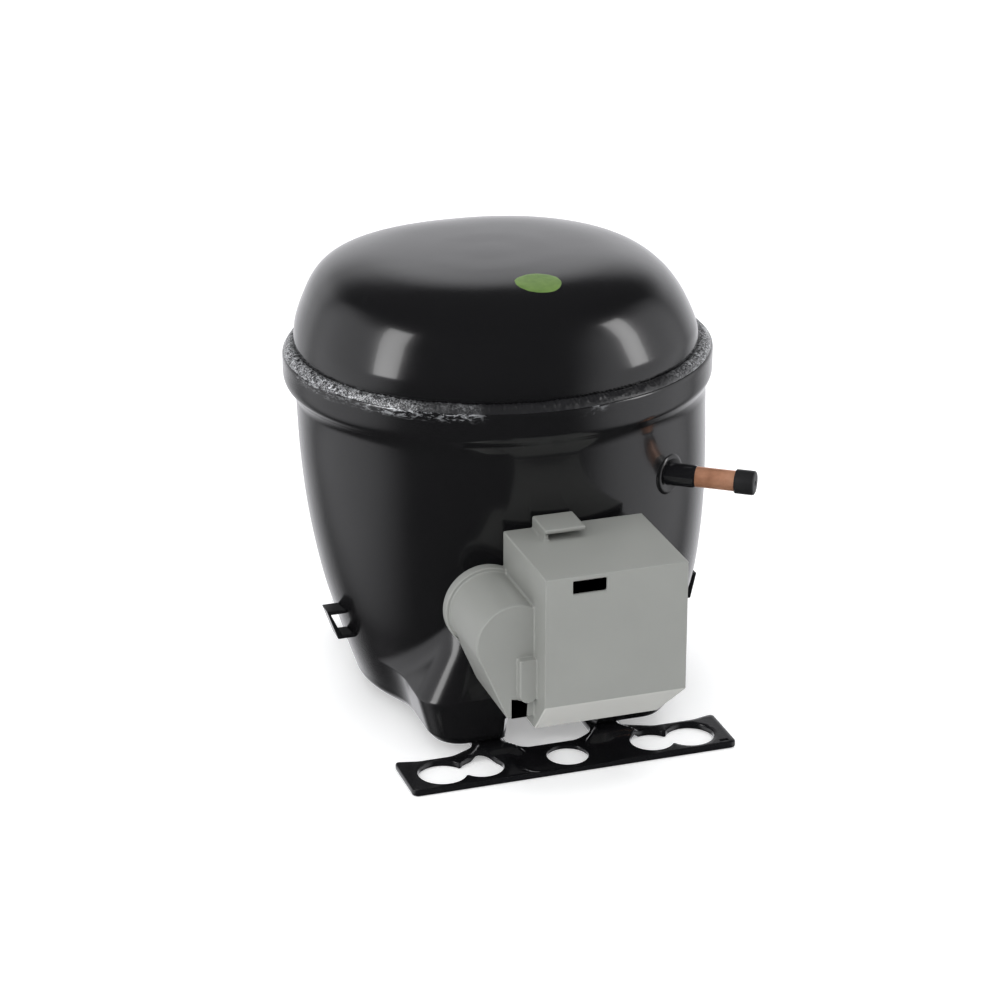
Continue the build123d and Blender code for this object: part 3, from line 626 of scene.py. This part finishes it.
def peanut(sx):
    big, small, h = (50.8, 9.5), (35.0, 8.5), 5.0
    a1 = np.arcsin(h / big[1])
    a2 = np.arcsin(h / small[1])
    pts = []
    for t in np.linspace(-(pi - a1), pi - a1, 48):
        pts.append((sx * (big[0] + big[1] * cos(t)), 85 + big[1] * sin(t)))
    for t in np.linspace(a2, 2 * pi - a2, 42):
        pts.append((sx * (small[0] + small[1] * cos(t)), 85 + small[1] * sin(t)))
    return pts


def plate_height(x, u):
    h = 2.5
    for x0, x1 in ((-33.0, -20.0), (15.0, 28.0)):
        xc, hw = (x0 + x1) / 2, (x1 - x0) / 2
        # legs flare as they run out into the strip
        w = hw + 0.6 + 5.0 * smooth_step((u - 70) / 9.0)
        side = smooth_step((w - abs(x - xc)) / 3.2)
        end = smooth_step((80.5 - u) / 5.0)
        h = max(h, 2.5 + 2.5 * float(side * end))
    q = max(abs(x) - 13, 0) ** 2 + max(abs(u - 84) - 5, 0) ** 2
    h -= 0.8 * float(smooth_step((9.0 - sqrt(q)) / 3.0)) * (1.0 if h < 2.6 else 0.0)
    # strip edges and ends are left flat: the height is not changed here
    h += 0.0
    return h


def build_plate(s, name, node):
    if s < 0:
        # the inner edge is waisted beside the double holes and runs into the legs in wide curves
        pts = [(-66, 97), (-66, 71), (-57, 73.2), (-43, 73.2), (-33, 68), (-33, 56), (-20, 56), (-20, 70), (-12, 73.5), (7, 73.5), (15, 70), (15, 56), (28, 56), (28, 68), (40, 73.2), (57, 73.2), (66, 71), (66, 97)]
        rad = [2.5, 1.6, 12.0, 10.0, 5.0, 3.0, 3.0, 3.0, 5.0, 5.0, 3.0, 3.0, 3.0, 5.0, 10.0, 12.0, 1.6, 2.5]
    else:
        pts = [(-46.5, 96.5), (-46.5, 73.5), (-33, 73.5), (-33, 56), (-20, 56), (-20, 73.5), (15, 73.5), (15, 56), (28, 56), (28, 73.5), (46.5, 73.5), (46.5, 96.5)]
        rad = [11.4, 11.4, 1.8, 3.0, 3.0, 5.0, 5.0, 3.0, 3.0, 5.0, 11.4, 11.4]
    outer = dense(rounded_poly(pts, rad))
    if area2(outer) < 0:
        outer = outer[::-1]
    loops = [outer]
    def circle(x, r):
        return [(x + r * cos(t), 85 + r * sin(t)) for t in np.linspace(0, 2 * pi, 44, endpoint=False)]

    holes = [peanut(1), peanut(-1), circle(0, 8.0), [(60, 93.0), (63.5, 93.0), (63.5, 94.6), (60, 94.6)]] if s < 0 else [circle(35, 8.5), circle(-35, 8.5), circle(0, 8.0)]
    for hole in holes:
        if area2(hole) > 0:
            hole = hole[::-1]
        loops.append(hole)
    E = 0.55
    inner = [inset(l, E if i != 4 else 0.15) for i, l in enumerate(loops)]
    mids = [inset(l, (E if i != 4 else 0.15) * 0.3) for i, l in enumerate(loops)]
    # flat part
    gx, gy = np.meshgrid(np.arange(-65.5, 65.6, 1.15), np.arange(50.5, 96.6, 1.15))
    g = np.stack([gx.ravel(), gy.ravel()], axis=1)
    keep = in_poly(g, inner[0]) & ~near_poly(g, inner[0], 0.8)
    for l in inner[1:]:
        keep &= ~in_poly(g, l) & ~near_poly(g, l, 0.8)
    g = g[keep]
    v2, e2 = [], []
    for l in inner:
        b0 = len(v2)
        v2 += [Vector(q) for q in l]
        e2 += [(b0 + i, b0 + (i + 1) % len(l)) for i in range(len(l))]
    v2 += [Vector(q) for q in g]
    res = geometry.delaunay_2d_cdt(v2, e2, [], 0, 1e-6)
    rv, rf = res[0], res[2]
    cent = np.array([[(rv[f[0]][k] + rv[f[1]][k] + rv[f[2]][k]) / 3 for k in (0, 1)] for f in rf])
    ok = in_poly(cent, inner[0])
    for l in inner[1:]:
        ok &= ~in_poly(cent, l)
    tris = [f for f, k in zip(rf, ok) if k]
    verts, faces = [], []
    H = [plate_height(q[0], q[1]) for q in rv]
    n0 = len(rv)
    verts += [(q[0], s * q[1], h) for q, h in zip(rv, H)]
    verts += [(q[0], s * q[1], max(0.0, h - 2.5)) for q, h in zip(rv, H)]
    faces += [tuple(f) for f in tris] + [tuple(n0 + i for i in reversed(f)) for f in tris]
    # edge: rounded top and bottom. The flat part's first points are the loops, in order.
    b0 = 0
    for li, l in enumerate(loops):
        n = len(l)
        top = list(range(b0, b0 + n))
        bot = list(range(n0 + b0, n0 + b0 + n))
        b0 += n
        e = E if li != 4 else 0.15
        hs = [plate_height(*inner[li][i]) for i in range(n)]
        ringdefs = [(mids[li], [h - 0.12 for h in hs]), (l, [h - e for h in hs]), (l, [max(0.0, h - 2.5) + e for h in hs]), (mids[li], [max(0.0, h - 2.5) + 0.12 for h in hs])]
        prev = top
        for loop2, zz in ringdefs:
            cur = list(range(len(verts), len(verts) + n))
            verts += [(q[0], s * q[1], z) for q, z in zip(loop2, zz)]
            faces += [(prev[i], prev[(i + 1) % n], cur[(i + 1) % n], cur[i]) for i in range(n)]
            prev = cur
        faces += [(prev[i], prev[(i + 1) % n], bot[(i + 1) % n], bot[i]) for i in range(n)]
    return make(name, verts, faces, MAT["plate_paint"], "shell", [node], sharp=50)


build_plate(-1, "front_base_plate_skin", "front_base_plate")
build_plate(1, "rear_base_plate_skin", "rear_base_plate")


# ---------------------------------------------------------------- edge-rounded copies of CAD pieces
def rounded(node, body, width, mat, segs=3, angle=32, painted_light=None, clamp=True):
    src = NODES[node]
    me = src.data.copy()
    me.name = node + "_skin"
    for a in ("custom_normal", "sharp_edge", "sharp_face"):
        if a in me.attributes:
            me.attributes.remove(me.attributes[a])
    bm = bmesh.new()
    bm.from_mesh(me)
    bmesh.ops.remove_doubles(bm, verts=bm.verts, dist=1.5e-5)
    bmesh.ops.dissolve_degenerate(bm, dist=1e-6, edges=bm.edges)
    bmesh.ops.dissolve_limit(bm, angle_limit=radians(0.6), verts=bm.verts, edges=bm.edges)
    bmesh.ops.recalc_face_normals(bm, faces=bm.faces)
    bm.to_mesh(me)
    bm.free()
    tmp = bpy.data.objects.new("tmp", me)
    bpy.context.scene.collection.objects.link(tmp)
    bv = tmp.modifiers.new("b", "BEVEL")
    bv.width = width * MM
    bv.segments = segs
    bv.limit_method = "ANGLE"
    bv.angle_limit = radians(angle)
    bv.use_clamp_overlap = clamp
    bv.harden_normals = False
    dg = bpy.context.evaluated_depsgraph_get()
    made = bpy.data.meshes.new_from_object(tmp.evaluated_get(dg))
    bpy.data.objects.remove(tmp)
    made.name = node + "_skin"
    o = bpy.data.objects.new(node + "_skin", made)
    bpy.context.scene.collection.objects.link(o)
    made.materials.clear()
    made.materials.append(mat)
    made.shade_smooth()
    made.set_sharp_from_angle(angle=radians(38))
    wn = o.modifiers.new("wn", "WEIGHTED_NORMAL")
    wn.keep_sharp = True
    for p in made.polygons:
        p.material_index = 0
    # painted light: faces picked by the mask get the lighter copy of the material, in place of light falling on them
    if painted_light is not None:
        made.materials.append(painted_light[0])
        for p in made.polygons:
            if painted_light[1](p):
                p.material_index = 1
    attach(o, body)
    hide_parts(node)
    return o


# the cover's downward- and forward-facing bevel, which is painted lighter grey as floor bounce light
def under_bevel(p):
    c, n = p.center, p.normal
    return n.z < -0.3 and n.y < -0.3 and 0.029 < c.z < 0.0445 and c.y < -0.112 and c.x > -0.024


# the cover's underside bevel gets painted floor bounce light: a lighter grey second material
rounded("terminal_cover", "cover", 0.7, MAT["cover_plastic"], painted_light=(MAT["cover_painted_floor_light"], under_bevel), clamp=False)
for nd, w in (("left_side_bracket", 0.35), ("right_side_bracket", 0.35)):
    rounded(nd, "shell", w, MAT["plate_paint"], segs=2)


# ---------------------------------------------------------------- green inspection dot
def build_dot():
    m, nt, b = new_mat("paint_dot_green")
    v = coords(nt)
    n1 = noise_tex(nt, v, 260, 4, 0.6)
    cl = ramp(nt, n1, [(0.3, (0.075, 0.14, 0.028)), (0.7, (0.13, 0.21, 0.052))])
    nt.links.new(cl, b.inputs["Base Color"])
    b.inputs["Roughness"].default_value = 0.42
    bump(nt, b, n1, 0.3, 0.0003)
    rows = lid_surface()
    cx0, cy0, R = DOT
    seg, nr = 72, 10
    rad_tab, z_tab = rows[::-1, 1], rows[::-1, 0]

    def top(x, y):
        xc = lid_centre(179.0)
        t = atan2(y, x - xc)
        rr = hypot(x - xc, y)
        # equivalent half axis at this angle
        f = float(polar(1.0, 0.93, np.array([t]), 2.24)[0])
        return float(np.interp(rr / f, rad_tab, z_tab))

    verts = [(cx0, cy0, top(cx0, cy0) + 0.14)]
    for i in range(1, nr + 1):
        for j in range(seg):
            t = 2 * pi * j / seg
            edge = 1 + 0.05 * noise.noise(Vector((cos(t) * 1.5, sin(t) * 1.5, 3))) + 0.02 * noise.noise(Vector((cos(t) * 5, sin(t) * 5, 8)))
            rr = R * edge * i / nr
            x, y = cx0 + rr * cos(t) * 1.0, cy0 + rr * sin(t)
            lift = 0.14 if i < nr - 1 else (0.10 if i == nr - 1 else -0.05)
            verts.append((x, y, top(x, y) + lift))
    faces = [(0, 1 + j, 1 + (j + 1) % seg) for j in range(seg)]
    faces += [tuple(1 + k for k in f) for f in rings_to_faces(nr, seg)]
    return make("inspection_paint_dot", verts, faces, m, "shell")


DOT = (2.6, -40.3, 9.2)
build_dot()


# ---------------------------------------------------------------- floor, light, camera
def build_floor():
    m, nt, b = new_mat("floor_white")
    b.inputs["Base Color"].default_value = (0.9, 0.9, 0.9, 1)
    b.inputs["Roughness"].default_value = 0.9
    b.inputs["Emission Color"].default_value = (1, 1, 1, 1)
    b.inputs["Emission Strength"].default_value = 0.30
    me = bpy.data.meshes.new("floor")
    me.from_pydata([(-6, -6, 0), (6, -6, 0), (6, 6, 0), (-6, 6, 0)], [], [(0, 1, 2, 3)])
    o = bpy.data.objects.new("floor", me)
    o.location = (0, 0, -0.0002)
    me.materials.append(m)
    bpy.context.scene.collection.objects.link(o)
    o.visible_glossy = False


build_floor()

w = bpy.data.worlds.new("studio")
bpy.context.scene.world = w
w.use_nodes = True
nt = w.node_tree
bg = nt.nodes["Background"]
lp = nt.nodes.new("ShaderNodeLightPath")
bg2 = nt.nodes.new("ShaderNodeBackground")
bg2.inputs[0].default_value = (1, 1, 1, 1)
bg2.inputs[1].default_value = 1.0
bg.inputs[0].default_value = (0.95, 0.97, 1.0, 1)
bg.inputs[1].default_value = 0.42


def map_range(nt, v, a, b):
    n = nt.nodes.new("ShaderNodeMapRange")
    n.interpolation_type = "SMOOTHSTEP"
    n.inputs["From Min"].default_value = a
    n.inputs["From Max"].default_value = b
    nt.links.new(v, n.inputs["Value"])
    return n.outputs[0]


def dot_dir(nt, v, d):
    n = nt.nodes.new("ShaderNodeVectorMath")
    n.operation = "DOT_PRODUCT"
    nt.links.new(v, n.inputs[0])
    n.inputs[1].default_value = d
    return n.outputs["Value"]


# what the black enamel mirrors: a bright wall behind, bright panels at both sides, a dark front
wd = nt.nodes.new("ShaderNodeTexCoord").outputs["Generated"]
hb = dot_dir(nt, wd, (0.317, 0.948, 0.0))
hr = math_node(nt, "ABSOLUTE", dot_dir(nt, wd, (0.948, -0.317, 0.0)))
wz = dot_dir(nt, wd, (0, 0, 1))
back_wall = math_node(nt, "MULTIPLY", map_range(nt, hb, 0.35, 0.95), math_node(nt, "SUBTRACT", 1.0, map_range(nt, wz, 0.22, 0.58)))
side_wall = math_node(nt, "MULTIPLY", map_range(nt, hr, 0.62, 0.92), math_node(nt, "SUBTRACT", 1.0, map_range(nt, wz, 0.42, 0.78)))
glow = math_node(nt, "MAXIMUM", math_node(nt, "MULTIPLY", back_wall, 1.1), math_node(nt, "MULTIPLY", side_wall, 0.85))
bg3 = nt.nodes.new("ShaderNodeBackground")
bg3.inputs[0].default_value = (0.97, 0.97, 1.0, 1)
nt.links.new(math_node(nt, "ADD", math_node(nt, "MULTIPLY", glow, 0.9), 0.03), bg3.inputs[1])
mx1, mx2 = nt.nodes.new("ShaderNodeMixShader"), nt.nodes.new("ShaderNodeMixShader")
nt.links.new(lp.outputs["Is Glossy Ray"], mx1.inputs[0])
nt.links.new(bg.outputs[0], mx1.inputs[1])
nt.links.new(bg3.outputs[0], mx1.inputs[2])
nt.links.new(lp.outputs["Is Camera Ray"], mx2.inputs[0])
nt.links.new(mx1.outputs[0], mx2.inputs[1])
nt.links.new(bg2.outputs[0], mx2.inputs[2])
nt.links.new(mx2.outputs[0], nt.nodes["World Output"].inputs[0])


def softbox(name, loc, target, sx, sy, power, col=(1, 1, 1), glossy=True, spread=180):
    l = bpy.data.lights.new(name, "AREA")
    l.shape = "RECTANGLE"
    l.size, l.size_y = sx, sy
    l.energy = power
    l.color = col
    l.spread = radians(spread)
    o = bpy.data.objects.new(name, l)
    o.location = loc
    o.rotation_mode = "QUATERNION"
    o.rotation_quaternion = (Vector(target) - Vector(loc)).to_track_quat("-Z", "Y")
    bpy.context.scene.collection.objects.link(o)
    o.visible_glossy = glossy
    o.visible_camera = False
    return o


T = (0, 0, 0.09)
softbox("softbox_left", (-1.25, -0.35, 0.62), T, 0.45, 1.0, 7.0)
softbox("softbox_right", (1.1, -0.65, 0.6), T, 0.3, 0.9, 4.0)
softbox("softbox_rear", (0.25, 1.1, 1.5), T, 1.6, 0.7, 9.0, glossy=False)
softbox("fill_front", (-0.6, -1.6, 1.2), T, 1.2, 1.2, 14.0, glossy=False)
softbox("fill_top", (0, -0.1, 1.8), T, 1.5, 1.5, 14.0, glossy=False)

cam_data = bpy.data.cameras.new("camera")
cam = bpy.data.objects.new("camera", cam_data)
bpy.context.scene.collection.objects.link(cam)
AZ, EL, DIST, TGT, FPX = -18.49, 22.56, 1.260, Vector((0.00078, 0.0, 0.07500)), 3129.0
a, e = radians(AZ), radians(EL)
back = Vector((sin(a) * cos(e), -cos(a) * cos(e), sin(e)))
cam.location = TGT + back * DIST
cam.rotation_mode = "QUATERNION"
cam.rotation_quaternion = (-back).to_track_quat("-Z", "Y")
cam_data.sensor_width = 36.0
cam_data.lens = FPX / 1000 * 36.0
cam_data.clip_start, cam_data.clip_end = 0.05, 50
bpy.context.scene.camera = cam
bpy.context.scene.view_settings.view_transform = "Standard"
bpy.context.scene.view_settings.look = "None"
bpy.context.scene.view_settings.exposure = 0.0
bpy.context.scene.view_settings.gamma = 1.0

bpy.context.view_layer.update()
